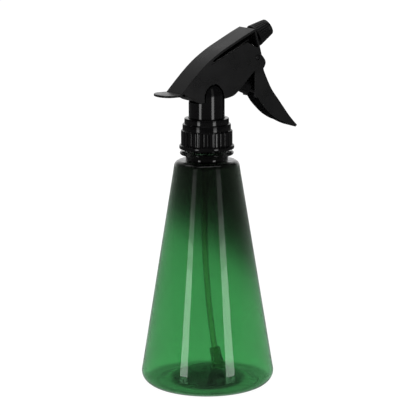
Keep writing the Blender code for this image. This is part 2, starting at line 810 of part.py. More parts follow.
def make_dip_tube(head, finish):
    """The bent plastic tube as a round rod of its outer size, carried along one smooth route."""
    route = smooth_curve(TUBE_ROUTE, 4)
    curve = bpy.data.curves.new("dip_tube", "CURVE")
    curve.dimensions = "3D"
    spline = curve.splines.new("POLY")
    spline.points.add(len(route) - 1)
    for point, place in zip(spline.points, route):
        point.co = (*(Vector(place) * MM), 1.0)
    curve.bevel_depth = TUBE_R * MM
    curve.bevel_resolution = 2
    curve.use_fill_caps = True
    curve.materials.append(finish)
    tube = bpy.data.objects.new("dip_tube", curve)
    tube.parent = head
    bpy.context.collection.objects.link(tube)
    return tube


def filter_frame(head):
    """An empty at the filter's foot whose Z axis runs up along the tube's end."""
    frame = empty("filter_axis", FILTER_BOTTOM, head)
    up = (Vector(FILTER_TOP) - Vector(FILTER_BOTTOM)).normalized()
    frame.rotation_mode = "QUATERNION"
    frame.rotation_quaternion = up.to_track_quat("Z", "Y")
    return frame


def make_filter(head, plastic, screen_finish):
    frame = filter_frame(head)
    length = (Vector(FILTER_TOP) - Vector(FILTER_BOTTOM)).length
    outline = (
        (TUBE_R + GAP, 9.0),
        (TUBE_R + GAP, length),
        (3.6, length),
        (3.7, 8.0),
        (4.6, 3.0),
        (5.4, 1.6),
        (5.4, 0.0),
        (4.6, 0.0),
        (4.6, 1.5),
        (3.9, 3.0),
        (1.3, 7.0),
        (1.3, 9.0),
    )
    body = turned("filter_body", outline, 24, frame, plastic)
    screen_outline = ((0.0, 0.4), (4.3, 0.4), (4.3, 1.0), (0.0, 1.0))
    screen = turned("filter_screen", screen_outline, 24, frame, screen_finish)
    return body, screen


def main():
    for old in list(bpy.data.objects):
        bpy.data.objects.remove(old, do_unlink=True)
    green = material("green_bottle_plastic", (0.05, 0.32, 0.11), 0.08, transmission=0.9)
    black = material("black_gloss_plastic", (0.012, 0.012, 0.013), 0.22)
    satin = material("black_satin_plastic", (0.016, 0.016, 0.017), 0.35)
    natural = material("natural_plastic", (0.75, 0.76, 0.72), 0.4)
    tube_plastic = material("clear_tube_plastic", (0.7, 0.76, 0.68), 0.3, transmission=0.4)
    rubber = material("seal_rubber", (0.02, 0.02, 0.02), 0.7)
    steel = material("spring_steel", (0.62, 0.63, 0.65), 0.28, metallic=1.0)

    frame = empty("mister_frame", (BOTTLE_AXIS_X, 0.0, 0.0))
    head = empty("head_axis", (0.0, 0.0, 0.0), frame)
    pump = empty("pump_axis", PUMP_POINT, head, PUMP_SLOPE_DEG)
    nozzle = empty("nozzle_axis", NOZZLE_POINT, head, -NOZZLE_RISE_DEG)

    make_bottle(frame, green)
    make_gasket(frame, rubber)
    make_collar(frame, black)
    make_pump_body(head, pump, nozzle, black)
    make_tube_holder(head, natural)
    make_inlet_ball(head, steel)
    make_outlet_ball(nozzle, steel)
    make_piston(pump, black)
    make_piston_seal("piston_rear_seal", PISTON_REAR + SEAL_FROM_END, pump, rubber)
    make_piston_seal("piston_front_seal", PISTON_HEAD_FRONT - SEAL_FROM_END, pump, rubber)
    make_return_spring(pump, steel)
    make_outlet_spring(nozzle, steel)
    make_spinner(nozzle, natural)
    make_nozzle_seal(nozzle, rubber)
    make_nozzle_cap(nozzle, satin)
    make_shroud(head, nozzle, satin)
    make_trigger(head, pump, satin)
    make_dip_tube(head, tube_plastic)
    make_filter(head, natural, steel)


main()
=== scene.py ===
"""Looks of the hand mister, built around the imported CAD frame.

Shapes are worked out in millimetres in the bottle's frame: the bottle's axis is the Z axis, the bottle stands
on z = 0 and the nozzle points to +X. PLACE turns them into the row frame, in metres.
"""

import json
import math

import bmesh
import bpy
from mathutils import Matrix, Vector


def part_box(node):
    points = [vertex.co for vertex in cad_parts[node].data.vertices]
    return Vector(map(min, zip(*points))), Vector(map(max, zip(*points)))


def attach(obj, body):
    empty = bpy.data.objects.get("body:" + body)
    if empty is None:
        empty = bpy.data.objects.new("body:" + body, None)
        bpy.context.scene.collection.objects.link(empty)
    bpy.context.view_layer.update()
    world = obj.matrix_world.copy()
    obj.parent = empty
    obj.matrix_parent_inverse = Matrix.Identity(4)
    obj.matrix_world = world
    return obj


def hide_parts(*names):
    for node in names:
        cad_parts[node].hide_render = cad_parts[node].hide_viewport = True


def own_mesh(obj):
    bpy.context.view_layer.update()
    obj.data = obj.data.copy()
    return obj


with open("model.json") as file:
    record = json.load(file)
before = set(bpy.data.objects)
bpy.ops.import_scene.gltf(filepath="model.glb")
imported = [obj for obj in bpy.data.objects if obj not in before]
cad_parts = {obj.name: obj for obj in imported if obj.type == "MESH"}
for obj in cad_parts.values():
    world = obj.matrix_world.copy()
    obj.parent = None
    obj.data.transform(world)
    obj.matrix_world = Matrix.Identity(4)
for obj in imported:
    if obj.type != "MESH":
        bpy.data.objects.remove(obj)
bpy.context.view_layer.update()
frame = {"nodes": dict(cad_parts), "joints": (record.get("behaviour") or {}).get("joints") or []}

MM = 0.001


def middle(node):
    """The middle of a CAD node's box, in millimetres."""
    low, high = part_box(node)
    return (low + high) / (2.0 * MM)


AXIS = Vector((middle("bottle").x, middle("bottle").y, 0.0))
PLACE = Matrix.Translation(AXIS * MM) @ Matrix.Scale(MM, 4)
JOINTS = {joint["name"]: joint for joint in frame["joints"]}


def joint_point(name):
    return Vector(JOINTS[name]["pos_m"]) / MM - AXIS


def axis_frame(origin, direction):
    """A frame whose X axis runs along the direction and whose Y axis stays across the sprayer head."""
    along = Vector(direction).normalized()
    across = Vector((0.0, 1.0, 0.0))
    made = Matrix((along, across, along.cross(across))).transposed().to_4x4()
    made.translation = origin
    return made


NOZZLE = axis_frame(joint_point("nozzle_turn"), JOINTS["nozzle_turn"]["axis"])
PIVOT = joint_point("trigger_pull")
PUMP_POINT = Vector((26.1, 0.0, 201.2))
PUMP = axis_frame(PUMP_POINT, -Vector(JOINTS["piston_stroke"]["axis"]))

# Bottle
CONE_BASE_R = 44.5
CONE_BASE_Z = 8.0
CONE_TOP_R = 21.6
CONE_TOP_Z = 149.0
SHOULDER_Z = 152.0
SHOULDER_CORNER_R = 4.2
STANDING_RING_R = 35.4
STANDING_RING_WIDTH = 3.0
BOTTLE_WALL = 0.8
NECK_R = 12.7
NECK_BELOW_BEAD_R = 14.0
NECK_BORE_R = 10.9
NECK_TOP_Z = 174.0
BEAD_R = 17.8
BEAD_Z = 157.0
BEAD_HALF_THICKNESS = 1.1
THREAD_PITCH = 4.233
THREAD_HEIGHT = 1.05

# Shroud
HALF_WIDTH = 10.0
SHROUD_WALL = 1.6
ROOF_WALL = 1.8


# ---------------------------------------------------------------- outlines


def arc(centre, radius_r, radius_z, from_deg, to_deg, steps):
    """Points of an elliptical arc about a centre."""
    points = []
    for i in range(steps + 1):
        angle = math.radians(from_deg + (to_deg - from_deg) * i / steps)
        points.append((centre[0] + radius_r * math.cos(angle), centre[1] + radius_z * math.sin(angle)))
    return points


def line(start, end, steps):
    """Evenly spaced points from start up to, but not including, end."""
    return [
        tuple(a + (b - a) * i / steps for a, b in zip(start, end))
        for i in range(steps)
    ]


def smooth_curve(points, steps):
    """A Catmull-Rom curve through the points, which may have any number of coordinates."""
    padded = [points[0], *points, points[-1]]
    result = []
    for a, b, c, d in zip(padded, padded[1:], padded[2:], padded[3:]):
        for i in range(steps):
            t = i / steps
            result.append(
                tuple(
                    0.5 * (2.0 * q + (r - p) * t + (2.0 * p - 5.0 * q + 4.0 * r - s) * t * t
                           + (3.0 * q - p - 3.0 * r + s) * t**3)
                    for p, q, r, s in zip(a, b, c, d)
                )
            )
    result.append(tuple(points[-1]))
    return result


def rounded(corners, radius, steps=4):
    """A closed outline with every corner rounded by a short curve about as wide as the radius."""
    result = []
    for before, corner, after in zip(corners[-1:] + corners[:-1], corners, corners[1:] + corners[:1]):
        here = Vector(corner[:2])
        to_before = Vector(before[:2]) - here
        to_after = Vector(after[:2]) - here
        wanted = corner[2] if len(corner) > 2 else radius
        reach = min(wanted, 0.45 * to_before.length, 0.45 * to_after.length)
        if reach < 0.02:
            result.append(tuple(here))
            continue
        first = here + to_before.normalized() * reach
        last = here + to_after.normalized() * reach
        for i in range(steps + 1):
            t = i / steps
            result.append(tuple(first * (1.0 - t) ** 2 + here * (2.0 * t * (1.0 - t)) + last * t * t))
    return result


def offset_path(points, distance):
    """The path moved sideways, to the left of its direction."""
    moved = []
    for i, point in enumerate(points):
        before = Vector(points[max(i - 1, 0)])
        after = Vector(points[min(i + 1, len(points) - 1)])
        along = (after - before).normalized()
        moved.append((point[0] - along.y * distance, point[1] + along.x * distance))
    return moved


# ---------------------------------------------------------------- meshes


def lathe(outline, segments, shape=None, matrix=None):
    """A closed outline of (radius, distance) points turned about Z.

    shape(radius, distance, angle) gives the radius there.
    """
    mesh = bmesh.new()
    rings = []
    for radius, along in outline:
        if radius <= 0.0:
            rings.append([mesh.verts.new((0.0, 0.0, along))])
            continue
        ring = []
        for i in range(segments):
            angle = 2.0 * math.pi * i / segments
            r = shape(radius, along, angle) if shape else radius
            ring.append(mesh.verts.new((r * math.cos(angle), r * math.sin(angle), along)))
        rings.append(ring)
    for first, second in zip(rings, rings[1:] + rings[:1]):
        for i in range(segments):
            j = (i + 1) % segments
            if len(first) > 1 and len(second) > 1:
                mesh.faces.new((first[i], first[j], second[j], second[i]))
            elif len(first) > 1:
                mesh.faces.new((first[i], first[j], second[0]))
            elif len(second) > 1:
                mesh.faces.new((first[0], second[j], second[i]))
    bmesh.ops.recalc_face_normals(mesh, faces=mesh.faces)
    if matrix is not None:
        bmesh.ops.transform(mesh, matrix=matrix, verts=mesh.verts)
    return mesh


ALONG_X = Matrix.Rotation(math.pi / 2.0, 4, "Y")


def rod(radius, start, end, place=None, segments=48):
    """A plain round tool along a frame's X axis."""
    outline = ((0.0, start), (radius, start), (radius, end), (0.0, end))
    return lathe(outline, segments, matrix=(place or Matrix()) @ ALONG_X)


def slab(outline, half_width, plane="XZ", matrix=None):
    """A closed outline in the XZ plane made 2 * half_width thick along Y, or one in XY made thick along Z."""
    mesh = bmesh.new()
    if plane == "XZ":
        corners = [mesh.verts.new((x, -half_width, z)) for x, z in outline]
        step = (0.0, 2.0 * half_width, 0.0)
    else:
        corners = [mesh.verts.new((x, y, -half_width)) for x, y in outline]
        step = (0.0, 0.0, 2.0 * half_width)
    face = mesh.faces.new(corners)
    made = bmesh.ops.extrude_face_region(mesh, geom=[face])
    moved = [v for v in made["geom"] if isinstance(v, bmesh.types.BMVert)]
    bmesh.ops.translate(mesh, verts=moved, vec=step)
    bmesh.ops.recalc_face_normals(mesh, faces=mesh.faces)
    if matrix is not None:
        bmesh.ops.transform(mesh, matrix=matrix, verts=mesh.verts)
    return mesh


def temporary(mesh):
    data = bpy.data.meshes.new("temporary")
    mesh.to_mesh(data)
    mesh.free()
    made = bpy.data.objects.new("temporary", data)
    bpy.context.scene.collection.objects.link(made)
    return made


def baked(target):
    """The object's mesh with its modifiers applied, as a new bmesh; the object is removed."""
    graph = bpy.context.evaluated_depsgraph_get()
    data = bpy.data.meshes.new_from_object(target.evaluated_get(graph))
    mesh = bmesh.new()
    mesh.from_mesh(data)
    bpy.data.meshes.remove(data)
    bpy.data.objects.remove(target)
    return mesh


def carved(base, steps, edge=0.0, edge_angle=28.0, edge_steps=3):
    """Cut and join the tools one after another, then round the edges by the given width."""
    target = temporary(base)
    tools = []
    for operation, mesh in steps:
        tool = temporary(mesh)
        tools.append(tool)
        step = target.modifiers.new("step", "BOOLEAN")
        step.operation = operation
        step.solver = "EXACT"
        step.object = tool
    if edge:
        bevel = target.modifiers.new("edges", "BEVEL")
        bevel.width = edge
        bevel.segments = edge_steps
        bevel.limit_method = "ANGLE"
        bevel.angle_limit = math.radians(edge_angle)
        bevel.use_clamp_overlap = False
        bevel.miter_outer = "MITER_ARC"
    result = baked(target)
    for tool in tools:
        bpy.data.objects.remove(tool)
    return result


def add_piece(name, mesh, body, finish, replaces=(), sharp_deg=40.0, flat_faces=False):
    """Turn a bmesh in millimetres into a shown piece that rides on a CAD body."""
    data = bpy.data.meshes.new(name)
    mesh.to_mesh(data)
    mesh.free()
    data.transform(PLACE)
    data.shade_smooth()
    data.set_sharp_from_angle(angle=math.radians(sharp_deg))
    data.materials.append(finish)
    piece = bpy.data.objects.new(name, data)
    bpy.context.scene.collection.objects.link(piece)
    if flat_faces:
        normals = piece.modifiers.new("flat_faces", "WEIGHTED_NORMAL")
        normals.mode = "FACE_AREA"
        normals.weight = 100
        normals.keep_sharp = True
    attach(piece, body)
    if replaces:
        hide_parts(*replaces)
    return piece


# ---------------------------------------------------------------- materials


class Nodes:
    """Short calls for building one material's nodes."""

    def __init__(self, name):
        self.material = bpy.data.materials.new(name)
        self.material.use_nodes = True
        self.tree = self.material.node_tree
        self.shader = self.tree.nodes["Principled BSDF"]
        self.output = self.tree.nodes["Material Output"]

    def set(self, **values):
        for key, value in values.items():
            socket = self.shader.inputs[key.replace("_", " ")]
            socket.default_value = (*value, 1.0) if isinstance(value, tuple) else value

    def node(self, kind, **settings):
        made = self.tree.nodes.new(kind)
        for key, value in settings.items():
            setattr(made, key, value)
        return made

    def link(self, source, target):
        self.tree.links.new(source, target)

    def place(self):
        """Positions in the row frame, in millimetres."""
        coordinates = self.node("ShaderNodeTexCoord")
        mapping = self.node("ShaderNodeMapping", vector_type="POINT")
        mapping.inputs["Scale"].default_value = (1.0 / MM, 1.0 / MM, 1.0 / MM)
        self.link(coordinates.outputs["Object"], mapping.inputs["Vector"])
        return mapping.outputs["Vector"]

    def noise(self, vector, scale, detail=3.0, roughness=0.5):
        made = self.node("ShaderNodeTexNoise")
        made.inputs["Scale"].default_value = scale
        made.inputs["Detail"].default_value = detail
        made.inputs["Roughness"].default_value = roughness
        self.link(vector, made.inputs["Vector"])
        return made.outputs["Fac"]

    def math(self, operation, first, second=None, third=None):
        made = self.node("ShaderNodeMath", operation=operation)
        for socket, value in zip(made.inputs, (first, second, third)):
            if value is None:
                continue
            if isinstance(value, (int, float)):
                socket.default_value = value
            else:
                self.link(value, socket)
        return made.outputs["Value"]

    def spread(self, value, low, high, to_low, to_high, kind="LINEAR"):
        made = self.node("ShaderNodeMapRange", interpolation_type=kind)
        for key, number in (("From Min", low), ("From Max", high), ("To Min", to_low), ("To Max", to_high)):
            made.inputs[key].default_value = number
        self.link(value, made.inputs["Value"])
        return made.outputs["Result"]

    def blend(self, share, first, second):
        """Mix two colours, each a tuple or a socket."""
        made = self.node("ShaderNodeMix", data_type="RGBA", blend_type="MIX")
        self.link(share, made.inputs["Factor"])
        for socket, value in ((made.inputs[6], first), (made.inputs[7], second)):
            if isinstance(value, tuple):
                socket.default_value = (*value, 1.0)
            else:
                self.link(value, socket)
        return made.outputs[2]

    def bump(self, height, strength, distance_mm):
        made = self.node("ShaderNodeBump")
        made.inputs["Strength"].default_value = strength
        made.inputs["Distance"].default_value = distance_mm * MM
        self.link(height, made.inputs["Height"])
        self.link(made.outputs["Normal"], self.shader.inputs["Normal"])


def moulded_plastic(name, colour, roughness, grain=0.25, gloss_change=0.05):
    """Injection-moulded plastic: a fine spark-eroded grain, faint flow marks and uneven gloss."""
    nodes = Nodes(name)
    nodes.set(Base_Color=colour, Specular_IOR_Level=0.5)
    place = nodes.place()
    flow = nodes.noise(place, 0.09, 2.0)
    fine = nodes.noise(place, 5.5, 2.0)
    rough = nodes.spread(flow, 0.3, 0.7, roughness - gloss_change, roughness + gloss_change)
    nodes.link(rough, nodes.shader.inputs["Roughness"])
    tint = nodes.spread(flow, 0.3, 0.7, 0.0, 1.0)
    lighter = tuple(c * 1.25 for c in colour)
    nodes.link(nodes.blend(tint, colour, lighter), nodes.shader.inputs["Base Color"])
    nodes.bump(fine, grain, 0.05)
    return nodes.material


PET_GREEN = (0.187, 0.49, 0.246)
COAT_DARK = (0.047, 0.066, 0.047)
NECK_DARK = (0.005, 0.006, 0.005)
# Tint of the raised bottom: partly thicker plastic, partly painted shade
PUSH_UP_DARK = (0.012, 0.026, 0.014)
# Grey that the grazing edges turn to: a painted sheen
SHEEN_OVER_COAT = (0.85, 0.85, 0.85)
SHEEN_OVER_GREEN = (0.5, 0.5, 0.5)
COAT_TILT = 0.47
COAT_TILT_DIRECTION = (0.866, -0.5)
COAT_BEND = 0.009
COAT_MIST = 1.5

# How much of the plain green shows at each height: the coat covers the rest
COAT_SHARE = (
    (70.0, 1.0),
    (80.0, 0.95),
    (90.5, 0.85),
    (101.0, 0.54),
    (111.0, 0.26),
    (121.0, 0.10),
    (130.0, 0.03),
    (145.0, 0.0),
)
PUSH_UP_R = 25.0


def tinted_pet(name):
    """Green PET that darkens to black towards the top, along an edge that is a little tilted."""
    nodes = Nodes(name)
    nodes.set(IOR=1.5, Transmission_Weight=1.0)
    place = nodes.place()
    split = nodes.node("ShaderNodeSeparateXYZ")
    nodes.link(place, split.inputs["Vector"])
    side = nodes.math("SUBTRACT", split.outputs["X"], AXIS.x)
    sideway = nodes.math("MULTIPLY", side, COAT_TILT_DIRECTION[0])
    sideway = nodes.math("MULTIPLY_ADD", split.outputs["Y"], COAT_TILT_DIRECTION[1], sideway)
    level = nodes.math("MULTIPLY_ADD", sideway, COAT_TILT, split.outputs["Z"])
    bend = nodes.math("POWER", nodes.math("MAXIMUM", sideway, 0.0), 2.0)
    level = nodes.math("MULTIPLY_ADD", bend, COAT_BEND, level)
    mist = nodes.noise(place, 0.5, 4.0, 0.7)
    level = nodes.math("MULTIPLY_ADD", nodes.math("SUBTRACT", mist, 0.5), COAT_MIST, level)
    share = coat_curve(nodes, level, COAT_SHARE)
    colour = nodes.blend(share, COAT_DARK, PET_GREEN)
    # Darker on the raised bottom: partly thicker plastic, partly painted shade
    colour = nodes.blend(thick_base_and_painted_shade(nodes, side, split), colour, PUSH_UP_DARK)
    in_neck = nodes.spread(split.outputs["Z"], SHOULDER_Z - 3.5, SHOULDER_Z - 1.0, 0.0, 1.0)
    colour = nodes.blend(in_neck, colour, NECK_DARK)
    # Towards the grazing edges the colour turns grey: a painted sheen
    facing = nodes.node("ShaderNodeLayerWeight")
    facing.inputs["Blend"].default_value = 0.5
    painted_sheen = nodes.math("POWER", facing.outputs["Facing"], 2.5)
    painted_sheen_colour = nodes.blend(share, SHEEN_OVER_COAT, SHEEN_OVER_GREEN)
    nodes.link(nodes.blend(painted_sheen, colour, painted_sheen_colour), nodes.shader.inputs["Base Color"])
    nodes.link(nodes.spread(share, 0.0, 1.0, 0.06, 0.02), nodes.shader.inputs["Roughness"])
    nodes.bump(nodes.noise(place, 0.045, 1.0), 0.12, 0.6)
    return nodes.material


def coat_curve(nodes, level, points):
    """A value that follows the given (height, value) points and stays level past both ends."""
    curve = nodes.node("ShaderNodeFloatCurve")
    low, high = points[0][0], points[-1][0]
    line_points = curve.mapping.curves[0].points
    line_points[0].location = (0.0, points[0][1])
    line_points[1].location = (1.0, points[-1][1])
    for height, value in points[1:-1]:
        line_points.new((height - low) / (high - low), value)
    curve.mapping.update()
    nodes.link(nodes.spread(level, low, high, 0.0, 1.0), curve.inputs["Value"])
    return curve.outputs["Value"]


def distance_from_axis(nodes, x, y):
    return nodes.math("SQRT", nodes.math("ADD", nodes.math("POWER", x, 2.0), nodes.math("POWER", y, 2.0)))


def thick_base_and_painted_shade(nodes, side, split):
    """1 on the thick moulded middle of the bottle's raised bottom, whose darker tint is partly the thicker
    plastic and partly painted shade of the floor under it.
    """
    away = distance_from_axis(nodes, side, split.outputs["Y"])
    inner = nodes.spread(away, PUSH_UP_R - 2.0, PUSH_UP_R + 2.0, 1.0, 0.0, "SMOOTHSTEP")
    low = nodes.spread(split.outputs["Z"], 11.0, 13.0, 1.0, 0.0)
    return nodes.math("MULTIPLY", inner, low)


def translucent_plastic(name, colour, roughness):
    nodes = Nodes(name)
    nodes.set(Transmission_Weight=0.85, IOR=1.25, Roughness=roughness)
    # Darker towards the grazing edges: painted shade
    facing = nodes.node("ShaderNodeLayerWeight")
    facing.inputs["Blend"].default_value = 0.35
    dark = tuple(c * 0.35 for c in colour)
    nodes.link(nodes.blend(facing.outputs["Facing"], colour, dark), nodes.shader.inputs["Base Color"])
    place = nodes.place()
    nodes.bump(nodes.noise(place, 1.5, 2.0), 0.08, 0.05)
    return nodes.material


def rubber(name):
    nodes = Nodes(name)
    nodes.set(Base_Color=(0.02, 0.02, 0.02), Roughness=0.75)
    nodes.bump(nodes.noise(nodes.place(), 4.0, 3.0), 0.3, 0.06)
    return nodes.material


def wire_steel(name):
    nodes = Nodes(name)
    nodes.set(Base_Color=(0.6, 0.61, 0.63), Metallic=1.0)
    marks = nodes.noise(nodes.place(), 7.0, 4.0)
    nodes.link(nodes.spread(marks, 0.3, 0.7, 0.2, 0.38), nodes.shader.inputs["Roughness"])
    nodes.bump(marks, 0.15, 0.02)
    return nodes.material


# ---------------------------------------------------------------- bottle


def cone_radius(z):
    slope = (CONE_TOP_R - CONE_BASE_R) / (CONE_TOP_Z - CONE_BASE_Z)
    return CONE_BASE_R + slope * (z - CONE_BASE_Z)


def thread_bump(z, angle, low, high, start_deg):
    """How far a screw thread stands out at this height and angle, from 0 to 1."""
    best = 0.0
    first = math.radians(start_deg)
    turns = (high - low) / THREAD_PITCH
    for turn in range(-1, 4):
        along = (angle - first) / (2.0 * math.pi) + turn
        if along < 0.0 or along > turns:
            continue
        middle_z = low + along * THREAD_PITCH
        side = abs(z - middle_z)
        fade = min(1.0, along * 12.0, (turns - along) * 12.0)
        best = max(best, fade * max(0.0, min(1.0, (1.25 - side) / 0.7)))
    return best


def bottle_shape(radius, z, angle):
    if 159.5 < z < 173.3 and radius > NECK_BORE_R + 0.5:
        return radius + THREAD_HEIGHT * thread_bump(z, angle, 162.0, 170.8, 40.0)
    return radius


def bottle_outline():
    corner = SHOULDER_CORNER_R
    corner_centre = (cone_radius(SHOULDER_Z - corner) - corner, SHOULDER_Z - corner)
    heel_centre = (STANDING_RING_R, CONE_BASE_Z)
    heel_width = cone_radius(CONE_BASE_Z) - STANDING_RING_R
    ring_inner_r = STANDING_RING_R - STANDING_RING_WIDTH
    wall = BOTTLE_WALL
    bead = BEAD_HALF_THICKNESS
    cone_top = arc(corner_centre, corner, corner, 90.0, 8.0, 10)
    outside = [
        (NECK_BORE_R + 0.5, NECK_TOP_Z),
        (NECK_R - 0.4, NECK_TOP_Z),
        (NECK_R - 0.1, NECK_TOP_Z - 0.1),
        (NECK_R, NECK_TOP_Z - 0.4),
        *line((NECK_R, NECK_TOP_Z - 0.8), (NECK_R, BEAD_Z + bead + 0.8), 44),
        *arc((NECK_R + 0.8, BEAD_Z + bead + 0.8), 0.8, 0.8, 180.0, 270.0, 3),
        *arc((BEAD_R - bead, BEAD_Z), bead, bead, 80.0, -80.0, 8),
        *arc((NECK_BELOW_BEAD_R + 0.6, BEAD_Z - bead - 0.6), 0.6, 0.6, 90.0, 180.0, 3),
        *arc((NECK_BELOW_BEAD_R + 1.0, SHOULDER_Z + 1.0), 1.0, 1.0, 180.0, 270.0, 5),
        *cone_top,
        *line((cone_radius(145.0), 145.0), (cone_radius(CONE_BASE_Z + 3.0), CONE_BASE_Z + 3.0), 24),
        *arc(heel_centre, heel_width, CONE_BASE_Z, 4.0, -90.0, 18),
        (ring_inner_r, 0.0),
        (ring_inner_r - 1.2, 0.3),
    ]
    push_up = smooth_curve(
        (
            (ring_inner_r - 2.4, 0.8),
            (26.0, 2.8),
            (22.0, 4.7),
            (18.0, 6.2),
            (14.0, 7.6),
            (11.3, 8.4),
            (9.0, 8.7),
        ),
        4,
    )
    gate = [
        (5.0, 8.7),
        (4.6, 8.5),
        (4.2, 8.5),
        (3.8, 8.7),
        (1.6, 8.7),
        (1.3, 8.2),
        (0.9, 8.0),
        (0.0, 8.0),
    ]
    outside += push_up + gate
    under = [(r * 1.01, z + wall + 0.2 * (1.0 - r / 30.0)) for r, z in reversed(push_up)]
    inside = [
        (0.0, 9.7),
        (3.7, 9.7),
        (4.0, 9.85),
        (4.4, 9.85),
        (4.7, 9.7),
        (7.5, 9.7),
        *under,
        (ring_inner_r, wall + 0.1),
        (STANDING_RING_R, wall + 0.1),
        *arc(heel_centre, heel_width - wall, CONE_BASE_Z - wall, -75.0, 2.0, 12),
        *line(
            (cone_radius(CONE_BASE_Z + 3.0) - wall, CONE_BASE_Z + 3.0), (cone_radius(145.0) - wall, 145.0), 24
        ),
        *arc(corner_centre, corner - wall, corner - wall, 8.0, 90.0, 6),
        (NECK_BELOW_BEAD_R - wall, SHOULDER_Z - wall),
        (NECK_BORE_R + 0.9, SHOULDER_Z),
        (NECK_BORE_R + 0.25, SHOULDER_Z + 1.4),
        (NECK_BORE_R, BEAD_Z),
        (NECK_BORE_R, NECK_TOP_Z - 0.4),
    ]
    return outside + inside


def make_bottle(finish):
    mesh = lathe(bottle_outline(), 144, bottle_shape)
    add_piece("bottle_shell", mesh, "bottle", finish, ("bottle",), 50.0)


# ---------------------------------------------------------------- collar

COLLAR_RIBS = 28
COLLAR_RIB_LOW = 162.6
COLLAR_RIB_HIGH = 172.3
COLLAR_BORE_R = 14.25
COLLAR_GROOVE_FLOOR_R = 16.3


def rib_wave(angle, count, groove_share):
    """1 on a rib and 0 in the narrow groove between two ribs, with rounded edges."""
    along = (angle * count / (2.0 * math.pi)) % 1.0
    from_groove = min(along, 1.0 - along)
    return max(0.0, min(1.0, (from_groove - 0.5 * groove_share) / 0.1 + 0.5))


def collar_shape(radius, z, angle):
    if COLLAR_RIB_LOW < z < COLLAR_RIB_HIGH and radius > COLLAR_BORE_R + 0.75:
        floor = COLLAR_GROOVE_FLOOR_R
        return floor + (radius - floor) * rib_wave(angle, COLLAR_RIBS, 0.26)
    return radius


def make_collar(finish):
    outline = [
        (COLLAR_BORE_R, 159.9),
        (COLLAR_BORE_R, 176.9),
        (12.25, 176.9),
        (12.25, 180.1),
        (12.45, 180.3),
        *arc((14.35, 179.9), 0.4, 0.4, 90.0, 0.0, 4),
        (14.75, 177.0),
        *arc((15.05, 176.8), 0.3, 0.3, 180.0, 270.0, 3),
        *arc((15.5, 176.0), 0.5, 0.5, 90.0, 0.0, 4),
        (16.0, 172.9),
        (16.05, 172.5),
        *arc((16.55, 171.6), 0.5, 0.6, 90.0, 0.0, 4),
        *line((17.05, 171.4), (17.05, 163.0), 8),
        (17.05, 162.85),
        (17.15, 162.5),
        *arc((17.6, 161.8), 0.6, 0.6, 90.0, 0.0, 5),
        *arc((17.6, 160.5), 0.6, 0.6, 0.0, -90.0, 5),
        (17.2, 159.9),
    ]
    mesh = lathe(outline, COLLAR_RIBS * 12, collar_shape)
    add_piece("ribbed_collar", mesh, "collar", finish, ("collar",))


# ---------------------------------------------------------------- sprayer head

DOME_START_Z = 194.5
DOME_TOP_Z = 209.0
DOME_R = 11.9


def column_outline(grow=0.0, low=175.4):
    dome = arc((0.0, DOME_START_Z), DOME_R + grow, DOME_TOP_Z - DOME_START_Z + grow, 0.0, 90.0, 18)
    return [(0.0, low), (11.9 + grow, low), (11.9 + grow, 178.6), *dome[:-1], (0.0, dome[-1][1])]


def make_pump_body(finish):
    body = lathe(column_outline(), 96)
    flange = lathe(((0.0, 175.4), (13.7, 175.4), (13.7, 176.6), (0.0, 176.6)), 96)
    rear_room = slab(((-8.6, 191.2), (-8.6, 208.0), (-15.0, 208.0), (-15.0, 191.2)), 14.0)
    riser = lathe([(0.0, 194.5), (4.6, 194.5), *arc((0.0, 213.0), 4.6, 4.6, 0.0, 80.0, 6), (0.0, 217.6)], 48)
    steps = [
        ("DIFFERENCE", rear_room),
        ("UNION", flange),
        ("UNION", riser),
        ("UNION", rod(5.5, -28.0, 5.9, PUMP, 64)),
        ("UNION", rod(3.6, -40.8, 0.0, NOZZLE, 40)),
        ("UNION", rod(4.7, -4.0, 8.2, NOZZLE, 56)),
        ("DIFFERENCE", rod(4.5, -17.5, 7.0, PUMP, 64)),
        ("DIFFERENCE", rod(2.4, -7.0, 9.0, NOZZLE, 40)),
        ("DIFFERENCE", lathe(((0.0, 170.0), (5.0, 170.0), (5.0, 188.1), (0.0, 188.1)), 48)),
    ]
    mesh = carved(body, steps, 0.25, 40.0, 2)
    add_piece("pump_housing", mesh, "head", finish, ("pump_body",), 50.0, True)


def roof_line(steps=5):
    corners = (
        (-24.4, 198.5),
        (-17.8, 205.6),
        (-10.9, 212.5),
        (-3.9, 218.5),
        (3.1, 223.3),
        (7.8, 226.1),
        (15.9, 230.3),
        (23.5, 234.2),
        (31.3, 237.9),
    )
    return smooth_curve(corners, steps)


def shroud_outline():
    lower_edge = rounded(
        [
            (32.3, 236.4, 0.2),
            (35.0, 226.5, 0.5),
            (36.7, 219.6, 1.5),
            (38.1, 217.4, 0.4),
            (17.3, 196.4, 2.5),
            (14.8, 194.8, 1.5),
            (12.0, 194.0, 1.5),
            (7.9, 193.3, 0.3),
            (-6.9, 191.5, 0.3),
            (-11.3, 191.8, 1.5),
            (-15.0, 193.5, 1.5),
            (-18.0, 196.0, 1.5),
            (-22.0, 196.8, 1.0),
            (-24.4, 196.8, 0.1),
            (-24.4, 198.5, 0.1),
            (31.3, 237.9, 0.1),
        ],
        0.5,
    )
    cut = next(i for i, point in enumerate(lower_edge) if point[0] < -24.35)
    return [*roof_line(), *lower_edge[:cut]]


